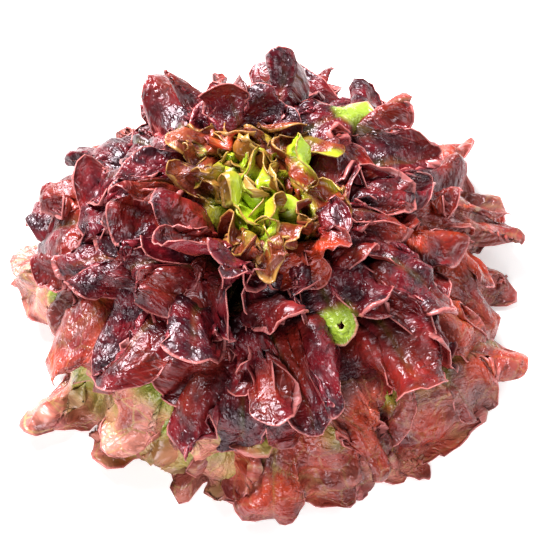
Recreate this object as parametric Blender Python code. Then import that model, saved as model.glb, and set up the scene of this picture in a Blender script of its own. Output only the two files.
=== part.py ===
"""Head of red oakleaf lettuce, cut at the stem and standing on its cut face.

Metres, +Z up, with the origin at the middle of the stem's cut face. One short stem core carries every
leaf. The leaves follow one another up the stem by the golden angle, outermost first. Each leaf lies on its
own surface of revolution round the stem: it leaves the stem steeply, bends outwards as it grows, and an
older leaf always lies outside a younger one, so the leaves nest without touching. Near its margin a leaf is
lobed and waves in and out.
"""

import math

import bmesh
import bpy
import numpy as np

# The head: leaf tips end on a dome of this radius and height, which sinks in at the heart.
HEAD_RADIUS = 0.142
HEAD_HEIGHT = 0.116
HEART_SINK = 0.020
HEART_SINK_RADIUS = 0.030
LEAN_SIDEWAYS, LEAN_BACK = -0.018, 0.010  # how far the top of the head leans over from the stem, along X and Y
HEART_TIP_RADIUS = 0.0015  # the youngest leaf closes over the growing point
LOWEST_TIP_ANGLE = math.radians(88)  # from the dome's top down to the oldest leaf's tip
FLOOR_CLEARANCE = 0.0004  # under a leaf that comes down to the surface the head stands on
LEAF_COUNT = 58
GOLDEN_ANGLE = math.radians(137.508)
OUTERMOST_AZIMUTH = math.radians(252.0)  # where the oldest leaf points, counted from +X

# The stem core, half an ellipsoid on its cut face.
STEM_RADIUS = 0.0155
STEM_HEIGHT = 0.044
STEM_SIDES = 28
STEM_RINGS = 7
LOWEST_LEAF_BASE = 0.006
HIGHEST_LEAF_BASE = 0.040
GROWING_GAP = 0.0004  # leaf base to stem, so that the two solids stay apart

# The leaves, from the heart (age 0) to the outside (age 1).
HEART_HALF_WIDTH = 0.014
OUTER_HALF_WIDTH = 0.058
PETIOLE_HALF_WIDTH = 0.0052
WRAP_LIMIT = 2.6  # radians: a heart leaf wraps the stem, but its two edges never meet
HEART_BASE_TILT = math.radians(22)  # from upright, where the leaf leaves the stem
OUTER_BASE_TILT = math.radians(56)
BLADE_THICKNESS = 0.0009
MIDRIB_THICKNESS = 0.0026
HEART_LOBES = 3
BLADE_LOBES = 5
LOBE_DEPTH = 0.10  # as a share of the leaf's length
SIDE_SHORTENING = 0.36  # how much shorter the outermost veins are than the midrib
SIDE_ROUNDING = 2.2
BLADE_BEGINS, BLADE_FULL = 0.12, 0.80  # shares of the length between which the blade widens
WAVE_TILT = math.radians(9)  # how far the lobes swing in and out
WAVE_BEGINS, WAVE_FULL = 0.45, 0.90  # shares of the length between which they start to swing
WAVE_STEP = 1.9  # radians from one leaf's wave to the next leaf's
RIB_NARROWNESS, RIB_TAPER = 1.6, 1.2  # how fast the midrib thins sideways and along the leaf

# Grid lines of a leaf: along it from base to margin, and across it, three to a lobe.
ALONG = np.array([0.0, 0.34, 0.64, 0.87, 1.0])
COLUMNS_PER_LOBE = 3
STEPS_ALONG_RAY = 61

# The last leaf of each group, counted from the heart.
GROUPS = ((10, "heart"), (26, "inner"), (42, "middle"), (LEAF_COUNT, "outer"))


def between(low, high, share):
    return low + (high - low) * share


def smooth(edge_low, edge_high, value):
    """0 below edge_low, 1 above edge_high, and a soft ramp in between."""
    share = np.clip((value - edge_low) / (edge_high - edge_low), 0.0, 1.0)
    return share * share * (3 - 2 * share)


def lean(height):
    """How far the head has bent over at a height: sideways and back."""
    bend = (height / HEAD_HEIGHT) ** 2
    return LEAN_SIDEWAYS * bend, LEAN_BACK * bend


class Leaf:
    """One leaf's own sizes, worked out from its age: 0 at the heart, 1 for the oldest leaf."""

    def __init__(self, number):
        self.number = number
        self.age = number / (LEAF_COUNT - 1)
        self.azimuth = OUTERMOST_AZIMUTH + (LEAF_COUNT - 1 - number) * GOLDEN_ANGLE
        self.half_width = between(HEART_HALF_WIDTH, OUTER_HALF_WIDTH, self.age**0.55)
        self.lobes = HEART_LOBES if number < GROUPS[0][0] else BLADE_LOBES
        self.set_midrib()

    def set_midrib(self):
        """The midrib is an arc from the stem's surface to the dome: its chord gives its end tilt."""
        self.base_height = between(HIGHEST_LEAF_BASE, LOWEST_LEAF_BASE, self.age)
        narrowing = math.sqrt(1 - (self.base_height / STEM_HEIGHT) ** 2)
        self.base_radius = STEM_RADIUS * narrowing + GROWING_GAP
        self.base_tilt = between(HEART_BASE_TILT, OUTER_BASE_TILT, self.age)
        down = LOWEST_TIP_ANGLE * self.age**0.92
        tip_radius = HEAD_RADIUS * math.sin(down) + HEART_TIP_RADIUS
        sink = HEART_SINK * math.exp(-((tip_radius / HEART_SINK_RADIUS) ** 2))
        tip_height = HEAD_HEIGHT * math.cos(down) - sink
        across, up = tip_radius - self.base_radius, tip_height - self.base_height
        self.tip_tilt = 2 * math.atan2(across, up) - self.base_tilt
        half_turn = (self.tip_tilt - self.base_tilt) / 2
        self.length = math.hypot(across, up) * half_turn / math.sin(half_turn)

    def name(self):
        first = 0
        for end, group in GROUPS:
            if self.number < end:
                return f"{group}_leaf_{self.number - first + 1:02d}"
            first = end

    def across(self):
        return np.linspace(-1.0, 1.0, COLUMNS_PER_LOBE * self.lobes + 1)

    def wave(self, across):
        """+1 where a lobe swings outwards, -1 where it swings in; neighbouring leaves differ."""
        return np.sin(math.pi * self.lobes * 0.5 * across + WAVE_STEP * self.number)

    def ray(self, across):
        """Points (radius, height, half-width) along one vein, from the stem to the margin."""
        in_lobe = abs(((across + 1) / 2 * self.lobes) % 1 - 0.5) * 2  # 0 mid-lobe, 1 in the notch
        reach = 1 - SIDE_SHORTENING * abs(across) ** SIDE_ROUNDING - LOBE_DEPTH * in_lobe**2
        share = np.linspace(0.0, reach, STEPS_ALONG_RAY)
        step = self.length * reach / (STEPS_ALONG_RAY - 1)
        swing = WAVE_TILT * self.wave(across) * smooth(WAVE_BEGINS, WAVE_FULL, share)
        tilt = between(self.base_tilt, self.tip_tilt, share) + swing
        radius = self.base_radius + np.concatenate([[0], np.cumsum(np.sin(tilt[:-1]) * step)])
        height = self.base_height + np.concatenate([[0], np.cumsum(np.cos(tilt[:-1]) * step)])
        widening = smooth(BLADE_BEGINS, BLADE_FULL, share)
        half_width = between(PETIOLE_HALF_WIDTH, self.half_width, widening)
        return radius, height, half_width

    def sheet(self):
        """The leaf's upper face: a grid of points, from the stem to the margin and across the blade."""
        columns = self.across()
        points = np.zeros((len(ALONG), len(columns), 3))
        at = np.round(ALONG * (STEPS_ALONG_RAY - 1)).astype(int)
        for column, across in enumerate(columns):
            radius, height, half_width = (line[at] for line in self.ray(across))
            angle = self.azimuth + across * np.minimum(half_width / radius, WRAP_LIMIT)
            aside, back = lean(height)
            points[:, column, 0] = radius * np.cos(angle) + aside
            points[:, column, 1] = radius * np.sin(angle) + back
            points[:, column, 2] = np.maximum(height, FLOOR_CLEARANCE + BLADE_THICKNESS)
        return points


def material(name, colour, roughness):
    """A plain finish: one Principled BSDF."""
    made = bpy.data.materials.new(name)
    made.use_nodes = True
    shader = made.node_tree.nodes["Principled BSDF"]
    shader.inputs["Base Color"].default_value = (*colour, 1.0)
    shader.inputs["Roughness"].default_value = roughness
    shader.inputs["Metallic"].default_value = 0.0
    return made


def clear_scene():
    for thing in list(bpy.data.objects):
        bpy.data.objects.remove(thing)


def add_object(name, mesh, finish):
    mesh.materials.append(finish)
    made = bpy.data.objects.new(name, mesh)
    bpy.context.scene.collection.objects.link(made)
    return made


def add_stem(finish):
    """The cut stem: a turned half-ellipsoid, flat where the knife went through."""
    form = bmesh.new()
    rings = []
    for ring in range(STEM_RINGS):
        turn = 0.5 * math.pi * ring / STEM_RINGS
        height, radius = STEM_HEIGHT * math.sin(turn), STEM_RADIUS * math.cos(turn)
        aside, back = lean(height)
        corners = []
        for side in range(STEM_SIDES):
            angle = 2 * math.pi * side / STEM_SIDES
            place = (radius * math.cos(angle) + aside, radius * math.sin(angle) + back, height)
            corners.append(form.verts.new(place))
        rings.append(corners)
    top = form.verts.new((*lean(STEM_HEIGHT), STEM_HEIGHT))
    for lower, upper in zip(rings, rings[1:]):
        for side in range(STEM_SIDES):
            after = (side + 1) % STEM_SIDES
            form.faces.new((lower[side], lower[after], upper[after], upper[side]))
    for side in range(STEM_SIDES):
        form.faces.new((rings[-1][side], rings[-1][(side + 1) % STEM_SIDES], top))
    form.faces.new(list(reversed(rings[0])))
    mesh = bpy.data.meshes.new("stem_core")
    form.to_mesh(mesh)
    form.free()
    mesh.shade_smooth()
    mesh.set_sharp_from_angle(angle=math.radians(50))
    add_object("stem_core", mesh, finish)


def add_leaf(leaf, finish):
    """A leaf: its upper face as a grid, thickened downwards, most along the midrib near the stem."""
    rows, columns = len(ALONG), len(leaf.across())
    points = leaf.sheet().reshape(-1, 3)
    faces = []
    for row in range(rows - 1):
        for column in range(columns - 1):
            corner = row * columns + column
            faces.append((corner, corner + columns, corner + columns + 1, corner + 1))
    mesh = bpy.data.meshes.new(leaf.name())
    mesh.from_pydata(points.tolist(), [], faces)
    mesh.shade_smooth()
    made = add_object(leaf.name(), mesh, finish)
    ribs = made.vertex_groups.new(name="rib")
    thinnest = BLADE_THICKNESS / MIDRIB_THICKNESS
    for row, along in enumerate(ALONG):
        for column, across in enumerate(leaf.across()):
            rib = max(0.0, 1 - abs(across) * RIB_NARROWNESS) * (1 - along) ** RIB_TAPER
            ribs.add([row * columns + column], between(thinnest, 1.0, rib), "REPLACE")
    wall = made.modifiers.new("thickness", "SOLIDIFY")
    wall.thickness = MIDRIB_THICKNESS
    wall.offset = -1.0
    wall.vertex_group = "rib"
    return made


def main():
    clear_scene()
    finishes = {
        "heart": material("heart_green", (0.33, 0.50, 0.05), 0.40),
        "inner": material("inner_red", (0.16, 0.03, 0.04), 0.35),
        "middle": material("burgundy", (0.10, 0.012, 0.022), 0.35),
        "outer": material("red_brown", (0.28, 0.07, 0.05), 0.40),
    }
    add_stem(material("pale_stem", (0.62, 0.64, 0.42), 0.55))
    for number in range(LEAF_COUNT):
        leaf = Leaf(number)
        add_leaf(leaf, finishes[leaf.name().split("_")[0]])


main()
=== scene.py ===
# %% [markdown]
# # A head of red oakleaf lettuce
#
# A loose-leaf lettuce is one short stem with dozens of leaves, each a little higher and a golden angle
# further round than the last. This notebook grows such a head in Blender: a cut stem, then every leaf as a
# flat blank that is shaped by its own growth rules, thickened, veined and coloured.

# %% Load the solid frame
import math
import bmesh
import bpy
import numpy as np
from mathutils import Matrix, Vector
from mathutils.bvhtree import BVHTree


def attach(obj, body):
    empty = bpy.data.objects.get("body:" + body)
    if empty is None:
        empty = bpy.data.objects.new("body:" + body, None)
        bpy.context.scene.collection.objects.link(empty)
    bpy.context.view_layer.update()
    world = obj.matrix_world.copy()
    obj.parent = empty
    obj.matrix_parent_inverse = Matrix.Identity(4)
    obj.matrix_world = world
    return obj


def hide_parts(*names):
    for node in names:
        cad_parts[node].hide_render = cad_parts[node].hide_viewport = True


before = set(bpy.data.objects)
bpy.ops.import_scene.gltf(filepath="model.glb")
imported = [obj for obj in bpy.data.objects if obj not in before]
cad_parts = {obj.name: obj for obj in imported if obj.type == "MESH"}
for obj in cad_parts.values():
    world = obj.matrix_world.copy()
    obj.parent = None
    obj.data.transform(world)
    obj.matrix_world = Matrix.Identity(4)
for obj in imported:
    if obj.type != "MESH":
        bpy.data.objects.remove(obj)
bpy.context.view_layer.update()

# %% [markdown]
# ## Camera, light and table
#
# The head is looked at from well above, with a long lens, under big soft lamps. The camera comes first, so
# that every later step can be judged from the same place. One bright sky would light the head evenly, but it
# would also fill the gaps between the leaves. So a large soft box behind the head gives the glossy blades
# their highlights, two weaker ones open up its front and side, and the world adds only a faint fill.

# %% Camera
VIEW_HEIGHT = math.radians(57.5)
LENS = 120.0
CAMERA_DISTANCE = 0.995
AIM = Vector((0.0016, 0.0100, 0.0063))


def add_camera():
    sight = Vector((0.0, -math.cos(VIEW_HEIGHT), math.sin(VIEW_HEIGHT)))
    bpy.ops.object.camera_add(location=AIM + sight * CAMERA_DISTANCE)
    camera = bpy.context.object
    camera.rotation_euler = (-sight).to_track_quat("-Z", "Y").to_euler()
    camera.data.lens = LENS
    camera.data.clip_start = 0.01
    bpy.context.scene.camera = camera
    return camera


bpy.ops.object.select_all(action="DESELECT")
print("camera:", add_camera().location)

# %% Lights, world and table
LAMPS = (  # name, place, size in metres, power in watts
    ("key_lamp", (-0.50, 0.75, 1.15), 0.70, 68.0),
    ("side_lamp", (1.2, 0.3, 0.9), 0.8, 8.0),
    ("front_lamp", (-0.35, -1.4, 0.85), 0.8, 19.0))
HEAD_MIDDLE = Vector((0, 0, 0.05))  # what the lamps face
FILL_GLOW, WALL_GLOW = 0.09, 1.0
TABLE_SIZE, TABLE_GLOW = 6.0, 0.5
TABLE_WHITE = (0.93, 0.93, 0.93, 1.0)


def add_lamp(name, place, size, power):
    """A square soft box that faces the middle of the head."""
    bpy.ops.object.light_add(type="AREA", location=place)
    lamp = bpy.context.object
    lamp.name = name
    lamp.data.size = size
    lamp.data.energy = power
    lamp.rotation_euler = (HEAD_MIDDLE - Vector(place)).to_track_quat("-Z", "Y").to_euler()


def add_world():
    """A white studio wall to the camera, and only a faint fill light to everything else."""
    world = bpy.data.worlds.new("studio")
    world.use_nodes = True
    tree = world.node_tree
    fill, wall = tree.nodes["Background"], tree.nodes.new("ShaderNodeBackground")
    for node, glow in ((fill, FILL_GLOW), (wall, WALL_GLOW)):
        node.inputs["Color"].default_value = (1.0, 1.0, 1.0, 1.0)
        node.inputs["Strength"].default_value = glow
    choose, ray = tree.nodes.new("ShaderNodeMixShader"), tree.nodes.new("ShaderNodeLightPath")
    tree.links.new(ray.outputs["Is Camera Ray"], choose.inputs["Fac"])
    tree.links.new(fill.outputs["Background"], choose.inputs[1])
    tree.links.new(wall.outputs["Background"], choose.inputs[2])
    tree.links.new(choose.outputs["Shader"], tree.nodes["World Output"].inputs["Surface"])
    bpy.context.scene.world = world


def add_table():
    """A matt white table top, which glows a little."""
    bpy.ops.mesh.primitive_plane_add(size=TABLE_SIZE, location=(0, 0, 0))
    table = bpy.context.object
    table.name = "table"
    paint = bpy.data.materials.new("table_white")
    paint.use_nodes = True
    shader = paint.node_tree.nodes["Principled BSDF"]
    shader.inputs["Base Color"].default_value = TABLE_WHITE
    shader.inputs["Roughness"].default_value = 0.9
    shader.inputs["Specular IOR Level"].default_value = 0.0
    shader.inputs["Emission Color"].default_value = (1.0, 1.0, 1.0, 1.0)
    shader.inputs["Emission Strength"].default_value = TABLE_GLOW
    table.data.materials.append(paint)


for lamp in LAMPS:
    add_lamp(*lamp)
add_world()
add_table()
bpy.context.scene.view_settings.view_transform = "Standard"

# %% [markdown]
# ## Growth rules
#
# On a real head every leaf follows from its age. The youngest is small and stands over the growing point;
# the oldest leaves the stem low down, reaches far out and droops. Leaves placed by hand would never look
# grown, so a rule keeps them in order, and a seeded draw for each keeps them different. The head's own sizes
# are the solid frame's, so each leaf lies near its plain solid.

# %% Sizes of the head
HEAD_RADIUS = 0.142
HEAD_HEIGHT = 0.116
HEART_SINK, HEART_SINK_RADIUS = 0.020, 0.030
LEAN_SIDEWAYS, LEAN_BACK = -0.018, 0.010
LOWEST_TIP_ANGLE = math.radians(88)
LEAF_COUNT = 58
GOLDEN_ANGLE = math.radians(137.508)
OUTERMOST_AZIMUTH = math.radians(252.0)
STEM_RADIUS, STEM_HEIGHT = 0.0155, 0.044
HIGHEST_LEAF_BASE, LOWEST_LEAF_BASE = 0.040, 0.006
HEART_BASE_TILT, OUTER_BASE_TILT = math.radians(22), math.radians(56)  # from upright, at the stem
HEART_TIP_RADIUS = 0.0015
HEART_SHOULDER, OUTER_SHOULDER = 0.92, 0.855  # how far out the blades' shoulders lie, of the head's outline
GROUPS = ((10, "heart"), (26, "inner"), (42, "middle"), (LEAF_COUNT, "outer"))


def between(low, high, share):
    return low + (high - low) * share


def smooth(low, high, value):
    """0 below low, 1 above high, and a soft ramp in between."""
    share = np.clip((value - low) / (high - low), 0.0, 1.0)
    return share * share * (3 - 2 * share)


def lean(height):
    """How far the head has bent over at a height: sideways and back."""
    bend = (height / HEAD_HEIGHT) ** 2
    return LEAN_SIDEWAYS * bend, LEAN_BACK * bend


def dome(angle):
    """Radius and height of the head's outline at an angle down from its top."""
    radius = HEAD_RADIUS * math.sin(angle)
    sink = HEART_SINK * math.exp(-((radius / HEART_SINK_RADIUS) ** 2))
    return radius, HEAD_HEIGHT * math.cos(angle) - sink


print("outline at 60 degrees down:", [round(v, 4) for v in dome(math.radians(60))])

# %% [markdown]
# ## Age and colour
#
# The outer leaves of a red lettuce have seen the most weather. Each of the oldest ones has its own tint:
# rust where the sun reached it, a pink blush where it thinned, and green where its neighbours shaded it.
# Weather follows no rule, so these leaves get a short table. The younger ones follow a ramp with their age,
# and a few lobes that stayed in the shade keep a green patch.

# %% Tints of the oldest leaves
RUST_AND_BACKLIT_SIDE = math.radians(-10)  # rust rises towards this side: partly the leaves' own rust, partly a painted glow of backlight shining through them
OLDEST_TINTS = {  # counted from the oldest leaf: rust, pink blush, and the share of the length that is green
    0: (0.25, 0.90, 0.76),
    1: (0.90, 0.10, 0.40),
    2: (0.35, 0.90, 0.52),
    3: (0.60, 0.35, 0.60),
    4: (0.75, 0.05, 0.40),
    5: (0.35, 0.95, 0.78),
    6: (0.80, 0.25, 0.50),
    7: (0.35, 0.15, 0.40),
    8: (0.55, 0.20, 0.62),
    9: (0.80, 0.10, 0.42),
    10: (0.30, 0.80, 0.74),
    11: (0.55, 0.15, 0.70),
    12: (0.35, 0.10, 0.40),
    13: (0.35, 0.85, 0.76),
    14: (0.85, 0.15, 0.48),
    16: (0.60, 0.20, 0.55),
    18: (0.60, 0.10, 0.50),
    19: (0.90, 0.10, 0.50),
}
GREEN_LOBES = {9: 0.010, 14: 0.011, 20: 0.012}  # leaf number: radius of the green patch on its middle lobe
print("leaves with a tint of their own:", len(OLDEST_TINTS))

# %% Sizes of the leaves and their lobes
HEART_HALF_WIDTH, OUTER_HALF_WIDTH = 0.018, 0.064
HEART_CURL, OUTER_CURL = 0.014, 0.036  # length of the blade beyond its shoulder
SHOULDER_BACK, SHOULDER_LEAST = 0.45, 0.35  # where the shoulder lies: back from the tip, and from the top
ROOTED = 0.0005  # how deep the base of a leaf sits in the stem
YOUNG_LEAVES, YOUNG_LOBES, LOBES = 4, 3, 5
FIRST_SEED = 700
GREEN_TO = {"heart": 1.0, "inner": 0.50, "middle": 0.40, "outer": 0.42}  # share of the length that is green
REDDER_FROM, REDDER_GREEN_TO = 6, 0.62  # the older heart leaves have red-brown tips
WIDTH_SPREAD = 0.22  # how much wider or narrower than its neighbours a lobe may be
SWING = (4, 26)  # degrees, inwards or outwards
EXTRA_CURLS, CURL_SPREAD = (-65, -35, -10, 20, 50), 15  # degrees more or less than the head's outline asks
LEAST_EXTRA_CURLS = (-75, -20)  # degrees, at the heart and outside it
ROLL, TONE, SKEW = 0.8, 0.28, 0.25  # to either side
RIMS = (-1.0, -0.7, -0.4, 0.6, 1.0)  # a lobe's margin turns under or up
CUP, FLARE, DEPTH = (-0.5, 1.2), (0.35, 0.75), (0.16, 0.28)
SPOON = (-10, 25)  # degrees
print("lobes to a leaf:", YOUNG_LOBES, "or", LOBES)

# %% A leaf's plan
class Leaf:
    """One leaf's sizes, worked out from its number: 0 is the youngest."""

    def __init__(self, number):
        self.number = number
        self.age = number / (LEAF_COUNT - 1)
        self.draw = np.random.default_rng(FIRST_SEED + number)
        self.azimuth = OUTERMOST_AZIMUTH + (LEAF_COUNT - 1 - number) * GOLDEN_ANGLE
        self.group = next(group for end, group in GROUPS if number < end)
        first = max([0] + [end for end, _ in GROUPS if end <= number])
        self.name = f"{self.group}_leaf_{number - first + 1:02d}"
        self.half_width = between(HEART_HALF_WIDTH, OUTER_HALF_WIDTH, self.age**0.42)
        self.lobes = YOUNG_LOBES if number < YOUNG_LEAVES else LOBES
        self.set_midrib()
        self.set_lobes()
        self.set_tint()

    def set_tint(self):
        """Rust, pink blush, and how far out the blade stays green."""
        shade = self.draw.uniform(-0.2, 0.2)
        # painted light: the rust that rises towards that side is partly the leaves' own and partly a painted
        # glow of backlight shining through the leaves
        toward_rust_and_backlit_side = 0.5 + 0.5 * math.cos(self.azimuth - RUST_AND_BACKLIT_SIDE)
        self.rust = float(np.clip(0.12 + 0.55 * toward_rust_and_backlit_side * smooth(0.3, 0.9, self.age) + shade, 0, 1))
        self.blush = 0.0
        self.green_to = GREEN_TO[self.group]
        if self.group == "heart" and self.number >= REDDER_FROM:
            self.green_to = REDDER_GREEN_TO
        self.rust, self.blush, self.green_to = OLDEST_TINTS.get(
            LEAF_COUNT - 1 - self.number, (self.rust, self.blush, self.green_to))

    def set_midrib(self):
        """The blade rises on an arc to its shoulder, on the head's outline, and curls over beyond it."""
        self.base_height = between(HIGHEST_LEAF_BASE, LOWEST_LEAF_BASE, self.age)
        self.base_radius = STEM_RADIUS * math.sqrt(1 - (self.base_height / STEM_HEIGHT) ** 2) - ROOTED
        self.base_tilt = between(HEART_BASE_TILT, OUTER_BASE_TILT, self.age)
        tip_angle = LOWEST_TIP_ANGLE * self.age**0.92
        curl_length = between(HEART_CURL, OUTER_CURL, self.age**0.5)
        shoulder = max(tip_angle - SHOULDER_BACK * curl_length / HEAD_RADIUS, SHOULDER_LEAST * tip_angle)
        inset = between(HEART_SHOULDER, OUTER_SHOULDER, self.age**2) * self.draw.uniform(0.96, 1.04)
        radius, height = (inset * side for side in dome(shoulder))
        out, up = radius + HEART_TIP_RADIUS - self.base_radius, height - self.base_height
        self.shoulder_tilt = 2 * math.atan2(out, up) - self.base_tilt
        half_turn = (self.shoulder_tilt - self.base_tilt) / 2
        arc_length = math.hypot(out, up) * half_turn / math.sin(half_turn)
        self.length = arc_length + curl_length
        self.shoulder_share = arc_length / self.length
        self.outline_tilt = math.pi / 2 + tip_angle

    def set_lobes(self):
        """Each lobe swings in or out, curls over, rolls to one side and cups, all by its own amount."""
        count = self.lobes
        widths = 1 + self.draw.uniform(-WIDTH_SPREAD, WIDTH_SPREAD, count)
        self.lobe_edges = np.concatenate([[-1], -1 + 2 * np.cumsum(widths) / widths.sum()])
        sign = np.where((np.arange(count) + self.number) % 2 == 0, 1.0, -1.0)
        loose = smooth(0.05, 0.35, self.age)
        calm = 1 - 0.60 * smooth(0.50, 0.90, self.age)
        plain = 1 - smooth(0.74, 0.92, self.age)
        self.swing = sign * np.radians(self.draw.uniform(*SWING, count)) * between(0.5, 1.0, loose) * calm
        over = self.outline_tilt - self.shoulder_tilt
        extra = self.draw.choice(EXTRA_CURLS, count) + self.draw.uniform(-CURL_SPREAD, CURL_SPREAD, count)
        extra = np.radians(extra) * calm
        extra = np.maximum(extra, np.radians(between(*LEAST_EXTRA_CURLS, smooth(0.25, 0.40, self.age))))
        self.curl = (over + extra) * between(0.35, 1.0, loose)
        self.roll = self.draw.uniform(-ROLL, ROLL, count) * calm * between(0.4, 1.0, loose)
        self.rim = self.draw.choice(RIMS, count)
        self.rim = between(0.4 + 0.8 * abs(self.rim), self.rim, plain)
        self.tone = self.draw.uniform(-TONE, TONE, count)
        self.cup = self.draw.uniform(*CUP, count) * between(0.7, 1.0, plain)
        self.spoon = np.radians(self.draw.uniform(*SPOON, count)) * calm
        self.flare = self.draw.uniform(*FLARE, count)
        self.skew = self.draw.uniform(-SKEW, SKEW, count) * calm
        self.depth = self.draw.uniform(*DEPTH, count) * between(0.6, 1.0, plain)


leaves = [Leaf(number) for number in range(LEAF_COUNT)]
print("leaf lengths in mm:", [round(leaf.length * 1000) for leaf in leaves[::9]])

# %% [markdown]
# ## The sheet of a leaf
#
# An oakleaf blade is a thin sheet with a few rounded lobes. It could be sculpted from a plane, but 58
# different ones are better grown. Here a leaf is a fan of veins from the stem to the margin. Each starts
# upright, leans out on its arc and curls over at the end. Where a vein ends depends on its lobe, so lobes and
# notches come out of the same rule. The grid has more lines near the notches and near the margin, where the
# sheet bends most.

# %% Grid of a leaf
ROWS = 73
COLUMNS_PER_LOBE = 20
PETIOLE_HALF_WIDTH = 0.0062
SIDE_SHORTENING, SIDE_ROUNDING = 0.34, 2.4  # how much shorter the outermost veins are, and how suddenly
GUTTER_LEAST, GUTTER_SHARE = 0.004, 0.8  # the tightest bend of a blade across: at its base, and farther out
WRAP_LIMIT = 2.8  # radians to either side
BROAD_SWAY, FINE_SWAY = 0.040, 0.017  # wavelengths of the lobes' waving
BROAD_SWAY_TILTS, FINE_SWAY_TILT = (10, 20), 9  # degrees; the broad one grows with age
UNEVENNESS = ((0.085, 0.0045, 5), (0.045, 0.0022, 6))  # of the whole head: wavelength, push and seed


def in_lobes(leaf, per_lobe):
    """For each grid line across the leaf: its place from -1 to 1, its lobe, and its place in that lobe."""
    across, lobe, inside = [], [], []
    for number in range(leaf.lobes):
        low, high = leaf.lobe_edges[number], leaf.lobe_edges[number + 1]
        steps = np.linspace(-1, 1, per_lobe + 1)[(1 if number else 0):]
        local = np.sin(steps * math.pi / 2)
        across.append((low + high) / 2 + (high - low) / 2 * local)
        inside.append(local)
        lobe.append(np.full(len(local), number))
    return np.concatenate(across), np.concatenate(lobe), np.concatenate(inside)


def per_column(values, lobe, inside):
    """A lobe's own value, running into its neighbour's at the notch between them."""
    step = np.where(inside > 0, 1, -1)
    beside = values[np.clip(lobe + step, 0, len(values) - 1)]
    return between(values[lobe], beside, 0.5 * smooth(0.55, 1.0, abs(inside)))


def ripple(place, wavelength, seed, waves=6):
    """A soft random surface: a few waves of about one length that cross each other."""
    draw = np.random.default_rng(seed)
    total = np.zeros(place.shape[:-1])
    for _ in range(waves):
        turn, phase = draw.uniform(0, 2 * math.pi, 2)
        length = wavelength * draw.uniform(0.75, 1.35)
        along = place[..., 0] * math.cos(turn) + place[..., 1] * math.sin(turn)
        total += np.sin(2 * math.pi * along / length + phase)
    return total / math.sqrt(waves / 2)


def sheet_normals(points):
    """Unit normals of a grid of points, towards the leaf's upper face."""
    along = np.gradient(points, axis=0)
    sideways = np.gradient(points, axis=1)
    normal = np.cross(along, sideways)
    return normal / np.maximum(np.linalg.norm(normal, axis=-1, keepdims=True), 1e-12)


def uneven(points):
    """The whole head has grown a little unevenly: neighbours are pushed the same way, so none meet."""
    from_stem = smooth(0.02, 0.09, np.linalg.norm(points, axis=-1))
    moved = points.copy()
    for wavelength, push, seed in UNEVENNESS:
        draw = np.random.default_rng(seed)
        for axis in range(3):
            for _ in range(3):
                way = draw.normal(size=3)
                way *= 2 * math.pi / wavelength / np.linalg.norm(way)
                wave = np.sin(points @ way + draw.uniform(0, 2 * math.pi))
                moved[..., axis] += from_stem * push / 1.7 * wave * (0.6 if axis == 2 else 1.0)
    return moved


def leaf_sheet(leaf, rows, per_lobe):
    """Points of the sheet, its flat pattern, and the share of the leaf's length at each point."""
    across, lobe, inside = in_lobes(leaf, per_lobe)
    depth = per_column(leaf.depth, lobe, inside)
    outline = 1 - SIDE_SHORTENING * abs(across) ** SIDE_ROUNDING
    crown = (1 - abs(inside) ** 2.2) ** 0.50
    reach = outline * (1 - depth * (1 - crown))
    lines = 1 - (1 - np.linspace(0, 1, rows)) ** 1.5
    share = lines[:, None] * reach[None, :]
    rest = 1 - leaf.shoulder_share
    beyond = smooth(leaf.shoulder_share - 0.65 * rest, leaf.shoulder_share + 0.30 * rest, share / outline)
    arc = np.minimum(share / leaf.shoulder_share, 1.0)
    tilt = between(leaf.base_tilt, leaf.shoulder_tilt, arc)
    tilt = tilt + per_column(leaf.swing, lobe, inside) * smooth(0.40, 0.85, share)
    tilt = tilt + per_column(leaf.curl, lobe, inside) * beyond
    width = between(PETIOLE_HALF_WIDTH, leaf.half_width, smooth(0.08, 0.78, share))
    free = smooth(1 - depth - 0.02, 1.04, share / outline)
    half_lobe = (leaf.lobe_edges[lobe + 1] - leaf.lobe_edges[lobe]) / 2 * leaf.half_width
    sideways = leaf.flare[lobe] * inside + leaf.skew[lobe]
    flat_across = across * width + sideways * half_lobe * free
    flat = np.stack([flat_across, share * leaf.length], axis=-1)
    outer = smooth(0.55, 1.0, share / outline)
    tilt = tilt + per_column(leaf.spoon, lobe, inside) * inside**2 * outer
    sway = math.radians(between(*BROAD_SWAY_TILTS, smooth(0.70, 0.90, leaf.age)))
    tilt = tilt + sway * ripple(flat, BROAD_SWAY, 20 + leaf.number) * outer
    tilt = tilt + math.radians(FINE_SWAY_TILT) * ripple(flat, FINE_SWAY, 40 + leaf.number) * outer**3
    step = np.diff(share, axis=0) * leaf.length
    middle = (tilt[1:] + tilt[:-1]) / 2
    start = np.zeros((1, len(across)))
    radius = leaf.base_radius + np.concatenate([start, np.cumsum(np.sin(middle) * step, axis=0)])
    height = leaf.base_height + np.concatenate([start, np.cumsum(np.cos(middle) * step, axis=0)])
    bend = np.maximum(radius, between(GUTTER_LEAST, GUTTER_SHARE * leaf.half_width, smooth(0.3, 0.8, share)))
    turn = leaf.azimuth + np.clip(flat_across / bend, -WRAP_LIMIT, WRAP_LIMIT)
    aside, back = lean(height)
    off = radius - bend
    right = bend * np.cos(turn) + off * math.cos(leaf.azimuth) + aside
    away = bend * np.sin(turn) + off * math.sin(leaf.azimuth) + back
    points = np.stack([right, away, height], axis=-1)
    tip_over = (leaf.roll[lobe] * inside - leaf.cup[lobe] * 0.5 * inside**2) * half_lobe * free
    points = points + sheet_normals(points) * tip_over[..., None]
    return uneven(points), flat, share


sample, sample_flat, _ = leaf_sheet(leaves[30], ROWS, COLUMNS_PER_LOBE)
print("grid of a middle leaf:", sample.shape)

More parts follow.
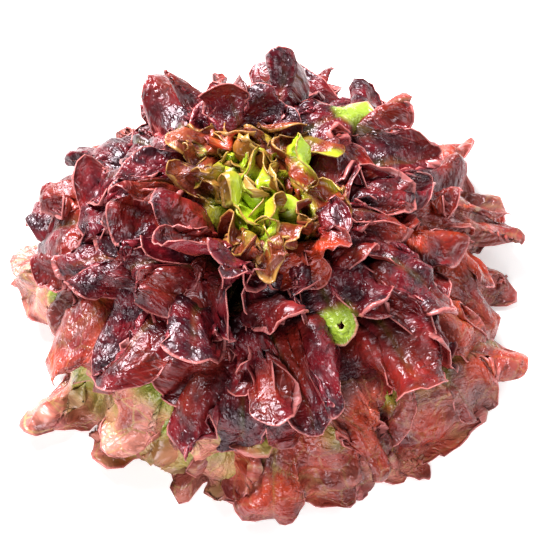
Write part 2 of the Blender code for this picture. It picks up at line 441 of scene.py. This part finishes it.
# %% [markdown]
# ## Make room
#
# So far each leaf has grown alone. In a real head the leaves press on each other. A younger leaf always
# lies on the upper side of an older one, so where two sheets cross, each is pushed back to its own side.
# This is done on a coarse copy of the sheets, and the moves are smoothed over each leaf. Cloth simulation is
# the other way, and a far slower one for 58 sheets that all touch. The sweeps clear only some of the
# crossings, because more of them pull the lobes out of shape.

# %% Push crossing leaves apart
COARSE = 4  # fine grid lines to one coarse line
ROOM = 0.0011  # what two sheets are kept apart
REACH = 0.008  # how far off a neighbour is looked for
SWEEPS = 7
FARTHEST = 0.0045  # no point is moved more than this
LONGEST_PUSH = 0.004
FACING = 0.75  # a neighbour pushes only along its normal, not past its edge
SOFTENING, EAGERNESS = 4, 1.2  # smoothing passes over a sweep's pushes, and how much of them is taken
LEAST_LOOSE = 0.05  # points less loose than this stay where they are


def grid_faces(rows, columns):
    corner = (np.arange(rows - 1)[:, None] * columns + np.arange(columns - 1)[None, :]).ravel()
    return np.stack([corner, corner + columns, corner + columns + 1, corner + 1], axis=1).tolist()


def soften(field, passes):
    """Averages a field over its neighbours in the grid."""
    for _ in range(passes):
        for axis in (0, 1):
            rolled = np.moveaxis(field, axis, 0)
            padded = np.concatenate([rolled[:1], rolled, rolled[-1:]])
            field = np.moveaxis((padded[:-2] + 2 * padded[1:-1] + padded[2:]) / 4, 0, axis)
    return field


def settle(sheets, looseness):
    """Moves that push the loose outer parts of the sheets back to their own side of their neighbours."""
    moves = [np.zeros(sheet.shape) for sheet in sheets]
    free = [loose.ravel() > LEAST_LOOSE for loose in looseness]
    for sweep in range(SWEEPS):
        now = [sheet + move for sheet, move in zip(sheets, moves)]
        flat_points = [sheet.reshape(-1, 3) for sheet in now]
        faces = [grid_faces(*sheet.shape[:2]) for sheet in now]
        pushes = [np.zeros(points.shape) for points in flat_points]
        counts = [np.zeros(len(points)) for points in flat_points]
        crossed, touched = 0, 0
        for wall in range(len(now)):
            tree = BVHTree.FromPolygons(flat_points[wall].tolist(), faces[wall])
            low, high = flat_points[wall].min(0) - REACH, flat_points[wall].max(0) + REACH
            for other in range(len(now)):
                if other == wall:
                    continue
                side = 1.0 if other < wall else -1.0
                points = flat_points[other]
                near = np.nonzero(((points > low) & (points < high)).all(1) & free[other])[0]
                for index in near:
                    place = Vector(points[index])
                    spot, normal, _, away = tree.find_nearest(place, REACH)
                    if spot is None:
                        continue
                    depth = (place - spot).dot(normal) * side
                    if depth > ROOM or (abs(depth) < FACING * away and away > ROOM):
                        continue
                    pushes[other][index] += np.array(normal) * side * min(ROOM - depth, LONGEST_PUSH)
                    counts[other][index] += 1
                    crossed += depth < 0
                    touched += 1
        for number, (push, count) in enumerate(zip(pushes, counts)):
            step = (push / np.maximum(count, 1)[:, None]).reshape(now[number].shape)
            step = soften(step, SOFTENING) * EAGERNESS * looseness[number][..., None]
            moved = moves[number] + step
            length = np.linalg.norm(moved, axis=-1, keepdims=True)
            moves[number] = moved * np.minimum(1, FARTHEST / np.maximum(length, 1e-9))
        print("sweep", sweep, "pairs that touch:", touched, "crossed:", crossed)
    return moves


def refine(move, rows, columns):
    """A coarse field read off at every line of the fine grid."""
    down = np.linspace(0, move.shape[0] - 1, rows)
    right = np.linspace(0, move.shape[1] - 1, columns)
    top = np.minimum(down.astype(int), move.shape[0] - 2)
    left = np.minimum(right.astype(int), move.shape[1] - 2)
    v, u = (down - top)[:, None, None], (right - left)[None, :, None]
    upper = move[top][:, left] * (1 - u) + move[top][:, left + 1] * u
    lower = move[top + 1][:, left] * (1 - u) + move[top + 1][:, left + 1] * u
    return upper * (1 - v) + lower * v


coarse = [leaf_sheet(leaf, (ROWS - 1) // COARSE + 1, COLUMNS_PER_LOBE // COARSE) for leaf in leaves]
moves = [np.zeros(points.shape) for points, _, _ in coarse]
moves = settle([points for points, _, _ in coarse], [smooth(0.45, 0.70, share) for _, _, share in coarse])
print("farthest move in mm:", round(max(float(np.abs(move).max()) for move in moves) * 1000, 1))

# %% [markdown]
# ## Blisters and veins
#
# Between its side veins a lettuce blade is puffed up into small blisters, and the veins lie sunk in its upper
# face. They could be bump in the material, but they shape a lobe's highlights and outline, so they are real
# relief: a blister stands on each cell round a scattered point, and a bowed vein runs into each side lobe.

# %% Blisters and veins
BLISTER_SIZE = 0.0046
MIDRIB_WIDTH, VEIN_WIDTH = (0.0030, 0.0008), (0.0013, 0.0005)  # at the stem's end and at the tip
MIDDLE_LOBE = 0.15  # the lobe this near the middle has the midrib for its vein
VEIN_SLANT, VEIN_BOW, LOWEST_FORK = 1.25, 0.10, 0.18


def cells(place, size, seed):
    """Distances to the nearest and second nearest of scattered points, in cell sizes."""
    place = place / size
    home = np.floor(place)
    nearest = np.full(place.shape[:-1], 9.0)
    second = nearest.copy()
    for right in (-1, 0, 1):
        for up in (-1, 0, 1):
            corner = home + (right, up)
            mixed = corner[..., 0] * 127.1 + corner[..., 1] * 311.7 + seed
            first_draw = np.modf(np.abs(np.sin(mixed) * 43758.5453))[0]
            next_draw = np.modf(np.abs(np.sin(mixed + 74.7) * 24634.6345))[0]
            spot = corner + np.stack([0.1 + 0.8 * first_draw, 0.1 + 0.8 * next_draw], axis=-1)
            away = np.linalg.norm(place - spot, axis=-1)
            second = np.minimum(second, np.maximum(nearest, away))
            nearest = np.minimum(nearest, away)
    return nearest, second


def vein_map(leaf, flat):
    """How much of a vein each point is, from 0 to 1: the midrib, and one side vein into each lobe."""
    middle = np.exp(-((flat[..., 0] / between(*MIDRIB_WIDTH, flat[..., 1] / leaf.length)) ** 2))
    centres = (leaf.lobe_edges[1:] + leaf.lobe_edges[:-1]) / 2
    sides = np.zeros(flat.shape[:-1])
    for centre in centres:
        if abs(centre) < MIDDLE_LOBE:
            continue
        reach = (1 - SIDE_SHORTENING * abs(centre) ** SIDE_ROUNDING) * 0.97
        tip = np.array([centre * leaf.half_width, leaf.length * reach])
        root = np.array([0.0, max(tip[1] - VEIN_SLANT * abs(tip[0]), LOWEST_FORK * leaf.length)])
        way = tip - root
        along = np.clip(((flat - root) @ way) / (way @ way), 0, 1)
        bow = np.sin(along * math.pi)[..., None] * np.array([way[1], -way[0]]) * VEIN_BOW * np.sign(centre)
        away = np.linalg.norm(flat - (root + along[..., None] * way + bow), axis=-1)
        thin = between(*VEIN_WIDTH, along) * between(1.0, 1.7, smooth(0.7, 0.9, leaf.age))
        sides = np.maximum(sides, np.exp(-((away / thin) ** 2)) * (1 - 0.6 * along))
    return middle, sides


_, sample_sides = vein_map(leaves[30], sample_flat)
print("points of a middle leaf on a side vein:", int((sample_sides > 0.5).sum()), "of", sample_sides.size)

# %% [markdown]
# ## One leaf as a mesh
#
# Each leaf starts as a flat grid from Blender's own primitive. Its corners are moved onto the sheet, and
# what the skin needs to know is stored with them: how red the leaf is there, how rusty, how blushed, how
# near the margin is. A real blade is paper thin and its midrib is fleshy, so a Solidify modifier is weighted
# by a vertex group. One inner leaf has a small nibbled hole.

# %% Helpers for a leaf's mesh
LOWEST, RISEN = 0.0012, 0.0110  # a blade that lies on the table, and the height where it starts to flatten
UV_SIZE = 0.2  # metres of leaf to one unit of its UV map


def leaf_blank(name, rows, columns):
    """A flat grid with one corner for every point of the sheet."""
    bpy.ops.object.select_all(action="DESELECT")
    bpy.ops.mesh.primitive_grid_add(x_subdivisions=columns - 1, y_subdivisions=rows - 1, size=1.0)
    blank = bpy.context.object
    blank.name = name
    blank.data.name = name
    return blank


def on_grid(field):
    """A field of the sheet in the order of the grid's corners, which run the other way across."""
    return field[:, ::-1]


def paint_attribute(mesh, name, values):
    layer = mesh.attributes.new(name, "FLOAT", "POINT")
    layer.data.foreach_set("value", np.ascontiguousarray(values, dtype=np.float32).ravel())


def above_table(height):
    """Leaves that reach the table flatten out on it: the lowest few heights are squeezed together."""
    near = LOWEST + (RISEN - LOWEST) * np.exp(np.minimum(height - RISEN, 0) / (RISEN - LOWEST))
    return np.where(height < RISEN, near, height)


def margin_distance(flat):
    """Distance in the flat pattern from each point to the leaf's outer edge."""
    edge = np.concatenate([flat[-1], flat[:, 0], flat[:, -1]])
    shape = flat.shape[:-1]
    spots = flat.reshape(-1, 2)
    return np.sqrt(((spots[:, None, :] - edge[None, :, :]) ** 2).sum(-1).min(1)).reshape(shape)


def write_uv(mesh, places):
    """A UV map at the leaf's real size, so that skin patterns follow the blade."""
    corners = np.empty(len(mesh.loops), dtype=np.int32)
    mesh.loops.foreach_get("vertex_index", corners)
    mesh.uv_layers.active.data.foreach_set("uv", places[corners].astype(np.float32).ravel())


sample_edge = margin_distance(sample_flat)
print("farthest from a middle leaf's margin, in mm:", round(sample_edge.max() * 1000, 1))

# %% The finished sheet of one leaf
BROAD_WAVE, BROAD_WAVE_HEIGHT = (0.034, 0.013), (0.0013, 0.0028)  # of an old leaf, of a young one
RIM_WIDTH, RIM_TURN = 0.010, 0.0046  # the margin turns up or under by this much over this width
FRILL_WIDTH, FRILL_WAVE, FRILL_HEIGHT = 0.012, (0.013, 0.018), (0.0009, 0.0026)  # of a young leaf, an old one
BLISTER_HEIGHT, VEIN_GROOVE, MIDRIB_GROOVE = 0.0009, 0.0006, 0.0012
MARGIN_BAND = 0.004  # how far from the margin the skin can still tell
VEIN_FADE = {"heart": 0.2, "inner": 0.85, "middle": 0.85, "outer": 0.15}  # towards the margin
BLADE_WALL, RIB_WALL, VEIN_WALL, THICKEST = 0.0006, 0.0038, 0.0006, 0.005
RIB_HALF_WIDTH = 0.0045


class Blade:
    """The fine sheet of one leaf, with what its relief, wall and skin are worked out from."""

    def __init__(self, leaf):
        self.leaf = leaf
        sheet, self.flat, self.share = leaf_sheet(leaf, ROWS, COLUMNS_PER_LOBE)
        _, self.lobe, self.inside = in_lobes(leaf, COLUMNS_PER_LOBE)
        self.edge = margin_distance(self.flat)
        self.middle, self.sides = vein_map(leaf, self.flat)
        self.opened = smooth(0.25, 0.60, self.share)
        self.young = 1 - smooth(0.08, 0.28, leaf.age)
        self.old = smooth(0.70, 0.90, leaf.age)
        sheet = sheet + refine(moves[leaf.number], *self.share.shape)
        self.points = sheet + sheet_normals(sheet) * self.relief()[..., None]
        self.points[..., 2] = above_table(self.points[..., 2])

    def relief(self):
        """How far each point stands off the smooth sheet: waves, margin, blisters, and the sunk veins."""
        leaf, flat, share = self.leaf, self.flat, self.share
        waves = ripple(flat, between(*BROAD_WAVE, self.young), leaf.number)
        waves = waves * between(*BROAD_WAVE_HEIGHT, self.young) * smooth(0.35, 0.8, share)
        turned = RIM_TURN * np.clip(1 - self.edge / RIM_WIDTH, 0, 1) ** 2
        turned = turned * per_column(leaf.rim, self.lobe, self.inside)
        frill = ripple(flat, between(*FRILL_WAVE, self.old), 70 + leaf.number)
        frill = frill * np.clip(1 - self.edge / FRILL_WIDTH, 0, 1) * between(*FRILL_HEIGHT, self.old)
        nearest, second = cells(flat, BLISTER_SIZE, 3.3 * leaf.number)
        puff = np.clip(second - nearest, 0, 1) ** 0.6
        raised = waves + (turned + frill) * smooth(0.5, 0.8, share)
        raised = raised + puff * BLISTER_HEIGHT * self.opened * (1 - self.sides) * (1 - self.middle)
        raised = raised - VEIN_GROOVE * self.sides * self.opened
        return raised - MIDRIB_GROOVE * self.middle * smooth(0.05, 0.3, share)

    def wall(self):
        """Thickness at each point: thin in the blade, fleshy along the midrib near the stem."""
        rib = np.exp(-((self.flat[..., 0] / RIB_HALF_WIDTH) ** 2)) * (1 - self.share) ** 1.3
        return BLADE_WALL + RIB_WALL * rib + VEIN_WALL * self.sides * self.opened

    def pigment(self):
        """0 where the leaf is green, 1 where its red is fullest: the light-struck outer blade."""
        leaf, flat, share = self.leaf, self.flat, self.share
        wander = 0.06 * ripple(flat, 0.03, 90 + leaf.number)
        red = smooth(leaf.green_to - 0.22, leaf.green_to + 0.12, share + wander)
        if leaf.group == "heart":
            patches = smooth(0.1, 0.9, ripple(flat, 0.022, 50 + leaf.number)) * smooth(0.55, 0.9, share)
            red = np.maximum(red, np.maximum(0.9 * patches, smooth(0.0025, 0.0, self.edge) * 0.6))
        if leaf.number in GREEN_LOBES:
            away = np.linalg.norm(flat - (0, 0.94 * leaf.length), axis=-1)
            red = red * smooth(0.6, 1.1, away / GREEN_LOBES[leaf.number])
        return np.clip(red - 0.4 * self.middle * (1 - share), 0, 1)

    def skin_values(self):
        """What the skin is told at each point, from 0 to 1."""
        leaf, flat, share = self.leaf, self.flat, self.share
        rust = leaf.rust + per_column(leaf.tone, self.lobe, self.inside)
        rust = rust + 0.18 * ripple(flat, 0.05, 60 + leaf.number) * smooth(0.2, 0.6, share)
        blush = leaf.blush * smooth(0.35, 0.75, share) * (1 + 0.3 * ripple(flat, 0.04, 30 + leaf.number))
        hidden = leaf.shoulder_share - 0.30 * self.old
        shown = 1 - VEIN_FADE[leaf.group] * smooth(0.45, 0.75, share)
        return {
            "pigment": self.pigment(),
            "rust": np.clip(rust, 0, 1),
            "blush": np.clip(blush, 0, 1),
            "lit": smooth(hidden - 0.30, hidden + 0.08, share),
            "edge": np.clip(self.edge / MARGIN_BAND, 0, 1),
            "vein": np.maximum(self.middle * (1 - 0.5 * share), self.sides) * shown,
        }


print("wall of a middle leaf, thinnest and thickest in mm:",
      [round(float(v) * 1000, 2) for v in np.percentile(Blade(leaves[30]).wall(), (0, 100))])

# %% Build one leaf
NIBBLED_LEAF, HOLE_RADIUS, HOLE_PLACE = 20, 0.0013, 0.93  # the place is a share of its length


def nibble(mesh, places, centre):
    """Takes the faces round one spot out of the sheet."""
    form = bmesh.new()
    form.from_mesh(mesh)
    form.verts.ensure_lookup_table()
    inside = np.nonzero(np.linalg.norm(places - centre, axis=-1) < HOLE_RADIUS)[0]
    bmesh.ops.delete(form, geom=[form.verts[int(index)] for index in inside], context="VERTS")
    form.to_mesh(mesh)
    form.free()


def add_wall(made):
    """Thickens the sheet downwards: first finish on top, second below, third on the rim."""
    wall = made.modifiers.new("wall", "SOLIDIFY")
    wall.thickness = THICKEST
    wall.offset = -1.0
    wall.vertex_group = "thickness"
    wall.material_offset = 1
    wall.material_offset_rim = 2
    bpy.ops.object.modifier_apply(modifier="wall")


def make_leaf(leaf, finishes):
    blade = Blade(leaf)
    made = leaf_blank(leaf.name + "_visual", *blade.share.shape)
    mesh = made.data
    mesh.vertices.foreach_set("co", on_grid(blade.points).reshape(-1))
    places = on_grid(blade.flat).reshape(-1, 2)
    write_uv(mesh, places / UV_SIZE + 0.5)
    for name, values in blade.skin_values().items():
        paint_attribute(mesh, name, on_grid(values))
    group = made.vertex_groups.new(name="thickness")
    for index, weight in enumerate(on_grid(blade.wall() / THICKEST).ravel()):
        group.add([index], float(weight), "REPLACE")
    if leaf.number == NIBBLED_LEAF:
        nibble(mesh, places, (0, HOLE_PLACE * leaf.length))
    for finish in finishes:
        mesh.materials.append(finish)
    mesh.shade_smooth()
    add_wall(made)
    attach(made, "root")
    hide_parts(leaf.name)

# %% [markdown]
# ## Skin of a leaf
#
# The skin of a red oakleaf is glossy and finely crinkled, and no two lobes have quite the same red, so a flat
# colour for each leaf would look like plastic. One node group paints every leaf: burgundy, rust and pink are
# laid over each other by the stored values and by soft noises, then green shows through near the stem, pale
# veins cross it, and a thin pale line follows the margin, partly its own paler colour and partly a painted
# highlight where the edge catches light. The creases are darkened with painted shade, and towards the leaf
# bases the colour sinks into a painted deep shade. Meandering creases and small domes give the fine relief.
# Each finish only brings its own colours.

# %% Node helpers
FACTOR, FIRST_COLOUR, SECOND_COLOUR, MIXED = 0, 6, 7, 2  # sockets of a Mix node that mixes colours


def join(tree, value, socket):
    """Links another node's output to a socket, or sets a plain number or colour on it."""
    if isinstance(value, bpy.types.NodeSocket):
        tree.links.new(value, socket)
    else:
        socket.default_value = value


def attribute_node(tree, name):
    node = tree.nodes.new("ShaderNodeAttribute")
    node.attribute_name = name
    return node.outputs["Fac"]


def mix_colours(tree, share, first, second):
    node = tree.nodes.new("ShaderNodeMix")
    node.data_type = "RGBA"
    for socket, value in ((FACTOR, share), (FIRST_COLOUR, first), (SECOND_COLOUR, second)):
        join(tree, value, node.inputs[socket])
    return node.outputs[MIXED]


def combine(tree, first, second, operation):
    node = tree.nodes.new("ShaderNodeMath")
    node.operation = operation
    join(tree, first, node.inputs[0])
    join(tree, second, node.inputs[1])
    return node.outputs[0]


def add(tree, first, second):
    return combine(tree, first, second, "ADD")


def multiply(tree, first, second):
    return combine(tree, first, second, "MULTIPLY")


def ranged(tree, value, low, high, out_low=0.0, out_high=1.0):
    """A soft ramp from out_low to out_high as the value goes from low to high."""
    node = tree.nodes.new("ShaderNodeMapRange")
    node.interpolation_type = "SMOOTHSTEP"
    tree.links.new(value, node.inputs["Value"])
    for name, number in (("From Min", low), ("From Max", high), ("To Min", out_low), ("To Max", out_high)):
        node.inputs[name].default_value = number
    return node.outputs["Result"]


def noise_on(tree, places, scale, detail):
    node = tree.nodes.new("ShaderNodeTexNoise")
    node.inputs["Scale"].default_value = scale
    node.inputs["Detail"].default_value = detail
    tree.links.new(places, node.inputs["Vector"])
    return node.outputs


def noise(tree, scale, detail=3.0):
    """A noise that runs through the whole head, so that neighbouring leaves share its patches."""
    return noise_on(tree, tree.nodes.new("ShaderNodeTexCoord").outputs["Object"], scale, detail)["Fac"]


def skin_noise(tree, size, detail):
    """A noise of a given size in metres, laid over the leaf's own map."""
    return noise_on(tree, tree.nodes.new("ShaderNodeUVMap").outputs["UV"], UV_SIZE / size, detail)["Fac"]


def skin_cells(tree, size, feature="SMOOTH_F1"):
    """Cells of a given size in metres, laid over the leaf's own map and pulled about by a noise."""
    place = tree.nodes.new("ShaderNodeUVMap").outputs["UV"]
    pull = noise_on(tree, place, 0.6 * UV_SIZE / size, 2.0)["Color"]
    node = tree.nodes.new("ShaderNodeTexVoronoi")
    node.feature = feature
    node.inputs["Scale"].default_value = UV_SIZE / size
    tree.links.new(mix_colours(tree, 0.02, place, pull), node.inputs["Vector"])
    return node.outputs["Distance"]


def creases(tree, size):
    """0 along meandering lines, where a noise crosses its middle, and more on both sides of them."""
    return combine(tree, combine(tree, skin_noise(tree, size, 3.0), 0.5, "SUBTRACT"), 0.0, "ABSOLUTE")


def raise_skin(tree, height, strength, distance):
    """Feeds a height through a Bump node into the shader's normal."""
    bump = tree.nodes.new("ShaderNodeBump")
    bump.inputs["Strength"].default_value = strength
    bump.inputs["Distance"].default_value = distance
    tree.links.new(height, bump.inputs["Height"])
    tree.links.new(bump.outputs["Normal"], tree.nodes["Principled BSDF"].inputs["Normal"])


# %% The skin group
NETTING_SIZE, CREASE_SIZE, DOME_SIZE = 0.0100, 0.0060, 0.0042
GLOSS_SIZE, GRAIN_SIZE = 0.004, 0.0012
ROUGHNESS = (0.24, 0.44)
DEEP_SHADE = (0.012, 0.003, 0.004, 1.0)  # between the leaf bases, where no light comes


def blade_colour(tree, given):
    """Burgundy with rust, pink and green laid over it by the stored values."""
    mottle = ranged(tree, noise(tree, 90.0), 0.35, 0.65)
    patch = ranged(tree, noise(tree, 38.0, 4.0), 0.36, 0.62, 0.12, 1.0)
    blushing = ranged(tree, noise(tree, 60.0, 2.0), 0.36, 0.60, 0.25, 1.0)
    red = mix_colours(tree, mottle, given["Deep Red"], given["Red"])
    rusty = mix_colours(tree, multiply(tree, attribute_node(tree, "rust"), patch), red, given["Rust"])
    pink = mix_colours(tree, multiply(tree, attribute_node(tree, "blush"), blushing), rusty, given["Pink"])
    return mix_colours(tree, attribute_node(tree, "pigment"), given["Green"], pink)


def with_veins(tree, given, blade):
    """A fine net on the faded leaves, and the side veins and the midrib on all."""
    netting = ranged(tree, skin_cells(tree, NETTING_SIZE, "DISTANCE_TO_EDGE"), 0.0, 0.07, 0.55, 0.0)
    faded = add(tree, attribute_node(tree, "blush"), multiply(tree, attribute_node(tree, "rust"), 0.12))
    netted = mix_colours(tree, multiply(tree, netting, faded), blade, given["Vein"])
    vein = ranged(tree, attribute_node(tree, "vein"), 0.25, 1.0, 0.0, 0.75)
    return mix_colours(tree, vein, netted, given["Vein"])


def with_margin_highlight_and_crease_shade(tree, given, veined, folds):
    """A pale line along the margin, partly its own paler colour and partly a painted highlight, and painted
    shade darkening the creases in the red.
    """
    # partly painted highlight: the pale line along the margin is the margin's own paler colour and painted
    # light where the edge catches it
    rim = ranged(tree, attribute_node(tree, "edge"), 0.04, 0.20, 0.80, 0.0)
    edged = mix_colours(tree, rim, veined, given["Margin"])
    # painted shade: the red is darkened along the creases, where shade falls between the small domes
    crease_shade = multiply(tree, ranged(tree, folds, 0.0, 0.04, 0.22, 0.0), attribute_node(tree, "pigment"))
    return mix_colours(tree, crease_shade, edged, given["Deep Red"])


def skin_height(tree, folds):
    """Small domes between the creases, and a fine grain."""
    domes = ranged(tree, skin_cells(tree, DOME_SIZE), 0.0, 1.0, 0.7, 0.0)
    raised = add(tree, domes, multiply(tree, ranged(tree, folds, 0.0, 0.16), 0.6))
    return add(tree, raised, multiply(tree, skin_noise(tree, GRAIN_SIZE, 2.0), 0.12))


def build_skin_group():
    """Colour, roughness and height of a leaf's skin, from its pigment, veins and margin."""
    tree = bpy.data.node_groups.new("leaf_skin", "ShaderNodeTree")
    for name in ("Red", "Deep Red", "Rust", "Pink", "Green", "Vein", "Margin"):
        tree.interface.new_socket(name=name, in_out="INPUT", socket_type="NodeSocketColor")
    for name, kind in (("Color", "Color"), ("Roughness", "Float"), ("Height", "Float")):
        tree.interface.new_socket(name=name, in_out="OUTPUT", socket_type="NodeSocket" + kind)
    given = tree.nodes.new("NodeGroupInput").outputs
    result = tree.nodes.new("NodeGroupOutput").inputs
    folds = creases(tree, CREASE_SIZE)
    colour = with_margin_highlight_and_crease_shade(tree, given, with_veins(tree, given, blade_colour(tree, given)), folds)
    shadow = ranged(tree, attribute_node(tree, "lit"), 0.0, 1.0, 0.70, 0.0)
    tree.links.new(mix_colours(tree, shadow, colour, DEEP_SHADE), result["Color"])
    gloss = ranged(tree, skin_noise(tree, GLOSS_SIZE, 2.0), 0.3, 0.7, *ROUGHNESS)
    tree.links.new(gloss, result["Roughness"])
    tree.links.new(skin_height(tree, folds), result["Height"])
    return tree


leaf_skin = build_skin_group()
print("skin nodes:", len(leaf_skin.nodes))

# %% Finishes
def leaf_material(name, **colours):
    made = bpy.data.materials.new(name)
    made.use_nodes = True
    tree = made.node_tree
    shader = tree.nodes["Principled BSDF"]
    skin = tree.nodes.new("ShaderNodeGroup")
    skin.node_tree = leaf_skin
    for socket, colour in colours.items():
        skin.inputs[socket.replace("_", " ")].default_value = (*colour, 1.0)
    tree.links.new(skin.outputs["Color"], shader.inputs["Base Color"])
    tree.links.new(skin.outputs["Roughness"], shader.inputs["Roughness"])
    raise_skin(tree, skin.outputs["Height"], 0.9, 0.0010)
    shader.inputs["Specular IOR Level"].default_value = 0.62
    shader.inputs["Specular Tint"].default_value = (0.96, 0.84, 0.92, 1.0)
    return made


# the margin colour is partly its own paler pink and partly a painted highlight where the edge catches light
UPPER = dict(
    Red=(0.145, 0.0050, 0.0095), Deep_Red=(0.026, 0.0016, 0.0050), Rust=(0.46, 0.034, 0.004),
    Pink=(0.74, 0.27, 0.20), Green=(0.26, 0.36, 0.03), Vein=(0.50, 0.36, 0.12), Margin=(0.54, 0.16, 0.15))
UNDER = dict(
    Red=(0.23, 0.016, 0.024), Deep_Red=(0.11, 0.007, 0.014), Rust=(0.48, 0.052, 0.008),
    Pink=(0.70, 0.28, 0.23), Green=(0.33, 0.40, 0.07), Vein=(0.56, 0.40, 0.19), Margin=(0.54, 0.16, 0.15))
HEART = dict(
    Red=(0.24, 0.045, 0.012), Deep_Red=(0.12, 0.015, 0.008), Green=(0.46, 0.66, 0.02),
    Vein=(0.66, 0.78, 0.16), Margin=(0.42, 0.22, 0.05))
# partly painted highlight: the rims of the blades get a pale pink, the margin's own paler colour and painted
# light where the edge catches it
RIM = dict(Red=(0.52, 0.17, 0.15), Deep_Red=(0.46, 0.13, 0.12), Green=(0.50, 0.50, 0.12))
RIM_AND_HIGHLIGHT_FINISH = leaf_material("leaf_rim_and_highlight", **{**UPPER, **RIM})
HEART_RIM = leaf_material("heart_rim", **{**UPPER, **HEART})
FINISHES = {}
for group in ("heart", "inner", "middle", "outer"):
    own = HEART if group == "heart" else {}
    upper = leaf_material(group + "_upper", **{**UPPER, **own})
    under = leaf_material(group + "_under", **{**UNDER, **own})
    FINISHES[group] = [upper, under, HEART_RIM if group == "heart" else RIM_AND_HIGHLIGHT_FINISH]
print("materials:", [finish.name for trio in FINISHES.values() for finish in trio])

# %% [markdown]
# ## The whole head
#
# With every rule in place, the leaves are grown from the heart outwards. Each is its own piece, as on the
# real head, where leaves are pulled off one by one, and each stands for one plain solid of the frame.

# %% Grow every leaf
for leaf in leaves:
    make_leaf(leaf, FINISHES[leaf.group])
print("leaves:", len(leaves))

# %% [markdown]
# ## The cut stem
#
# A head is cut with a short end of its stem, on which it stands. A turned profile would do if the stem didn't
# lean with the head, so it is modelled as by hand: a filled circle is the cut face, extruded upwards ring by
# ring over its slightly swollen rim and then to a point between the leaf bases. The cut has dried to a brown
# ring round a pale, milky middle.

# %% Stem
STEM_SIDES = 96
SHARP_EDGE = math.radians(50)
STEM_PROFILE = (  # radius and height of each ring, from the cut face upwards
    (0.0146, 0.0), (0.0152, 0.0004), (0.0155, 0.0012), (0.0155, 0.0022), (0.0153, 0.0050),
    (0.0150, 0.0090), (0.0145, 0.0140), (0.0136, 0.0200), (0.0121, 0.0270), (0.0100, 0.0330),
    (0.0070, 0.0385), (0.0035, 0.0425))
CUT_RING, CUT_EDGE = 0.0095, 0.0125  # radii between which the cut face turns brown
PALE_STEM, BROWN_STEM = (0.62, 0.60, 0.36, 1.0), (0.30, 0.15, 0.07, 1.0)


def stem_material():
    """Pale and milky with brown streaks; on the cut face a brown ring runs round the edge."""
    made = bpy.data.materials.new("stem_skin")
    made.use_nodes = True
    tree = made.node_tree
    shader = tree.nodes["Principled BSDF"]
    place, from_axis = tree.nodes.new("ShaderNodeTexCoord"), tree.nodes.new("ShaderNodeVectorMath")
    from_axis.operation = "MULTIPLY"
    from_axis.inputs[1].default_value = (1.0, 1.0, 0.0)
    tree.links.new(place.outputs["Object"], from_axis.inputs[0])
    radius = tree.nodes.new("ShaderNodeVectorMath")
    radius.operation = "LENGTH"
    tree.links.new(from_axis.outputs["Vector"], radius.inputs[0])
    ring = ranged(tree, radius.outputs["Value"], CUT_RING, CUT_EDGE, 0.0, 0.7)
    stain = ranged(tree, noise(tree, 160.0, 5.0), 0.42, 0.68, 0.0, 0.5)
    browned = combine(tree, ring, stain, "MAXIMUM")
    tree.links.new(mix_colours(tree, browned, PALE_STEM, BROWN_STEM), shader.inputs["Base Color"])
    raise_skin(tree, noise(tree, 700.0, 4.0), 0.5, 0.0006)
    shader.inputs["Roughness"].default_value = 0.45
    return made


def make_stem():
    bpy.ops.object.select_all(action="DESELECT")
    cut_radius = STEM_PROFILE[0][0]
    bpy.ops.mesh.primitive_circle_add(vertices=STEM_SIDES, radius=cut_radius, fill_type="NGON")
    made = bpy.context.object
    made.name = "stem_visual"
    bpy.ops.object.mode_set(mode="EDIT")
    bpy.ops.mesh.select_all(action="SELECT")
    for (width, low), (next_width, high) in zip(STEM_PROFILE, STEM_PROFILE[1:]):
        aside, back = (new - old for new, old in zip(lean(high), lean(low)))
        bpy.ops.mesh.extrude_region_move(TRANSFORM_OT_translate={"value": (aside, back, high - low)})
        share = next_width / width
        bpy.ops.transform.resize(value=(share, share, 1.0), center_override=(*lean(high), high))
    bpy.ops.mesh.merge(type="CENTER")
    bpy.ops.mesh.select_all(action="SELECT")
    bpy.ops.mesh.normals_make_consistent(inside=False)
    bpy.ops.object.mode_set(mode="OBJECT")
    bpy.ops.object.shade_smooth_by_angle(angle=SHARP_EDGE)
    made.data.materials.append(stem_material())
    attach(made, "root")
    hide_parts("stem_core")
    return made


stem = make_stem()
corners = np.array([vertex.co for vertex in stem.data.vertices])
print("stem faces:", len(stem.data.polygons), "height in mm:", round(float(corners[:, 2].max()) * 1000, 1))
